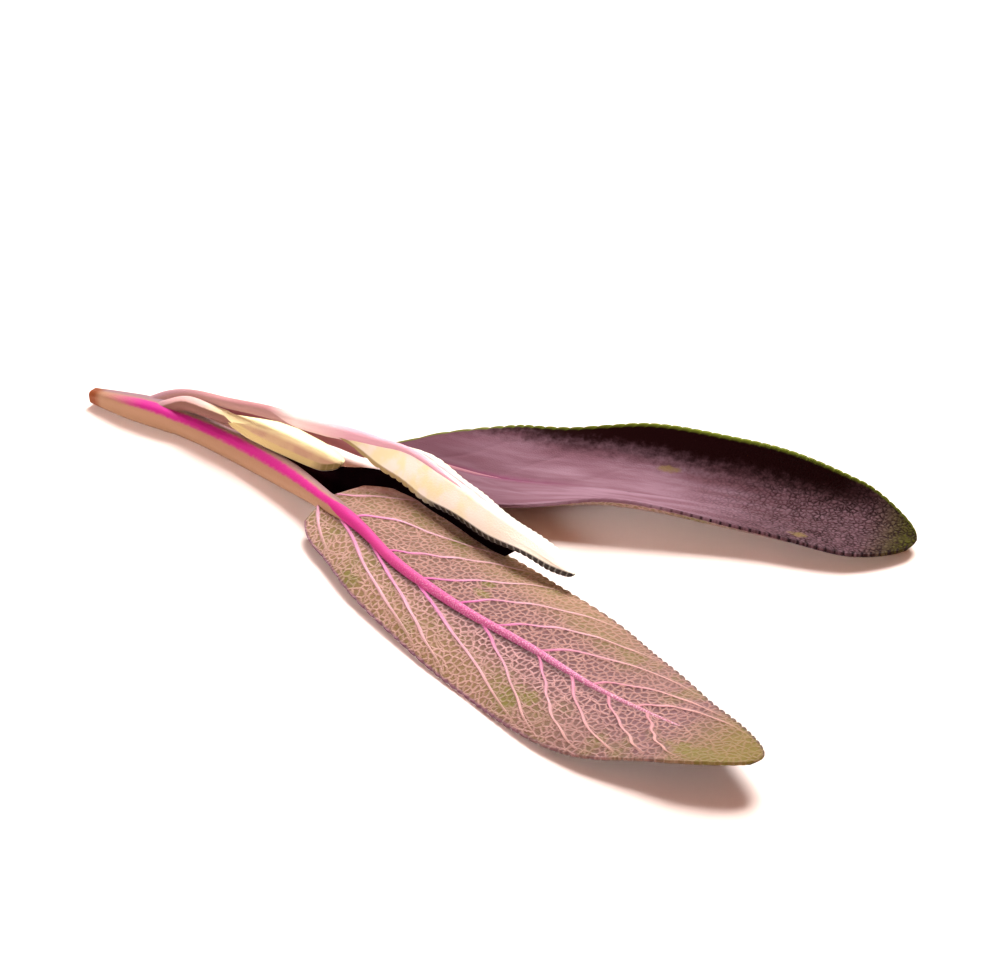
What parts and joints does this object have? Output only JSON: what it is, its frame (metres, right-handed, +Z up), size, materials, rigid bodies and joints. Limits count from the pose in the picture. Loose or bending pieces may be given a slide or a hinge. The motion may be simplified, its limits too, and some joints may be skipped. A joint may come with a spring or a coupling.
{
  "type": "sage sprig",
  "caption": "Cut sprig of purple sage lying flat: a short stem with long, fine-toothed leaves, one showing its raised midrib and side veins.",
  "frame": {"origin": "centre of the footprint on the table", "axes": "+X from the cut end towards the leaf tips, +Z up"},
  "size_m": [0.0778, 0.0632, 0.0068],
  "materials": {
    "stem_bark": "soft green stem, tan with a magenta flush, dull",
    "leaf_underside": "downy leaf underside with pink veins, dull",
    "leaf_upper_side": "downy purple leaf upper side, dull",
    "pale_felt_leaf": "cream felted leaf underside, dull",
    "young_leaf": "cream felted young leaf, dull"
  },
  "bodies": {
    "root": {"stem": "stem_bark", "leaf_front": "leaf_underside", "leaf_back": "leaf_upper_side", "leaf_middle": "pale_felt_leaf", "leaf_small": "young_leaf"}
  },
  "joints": []
}
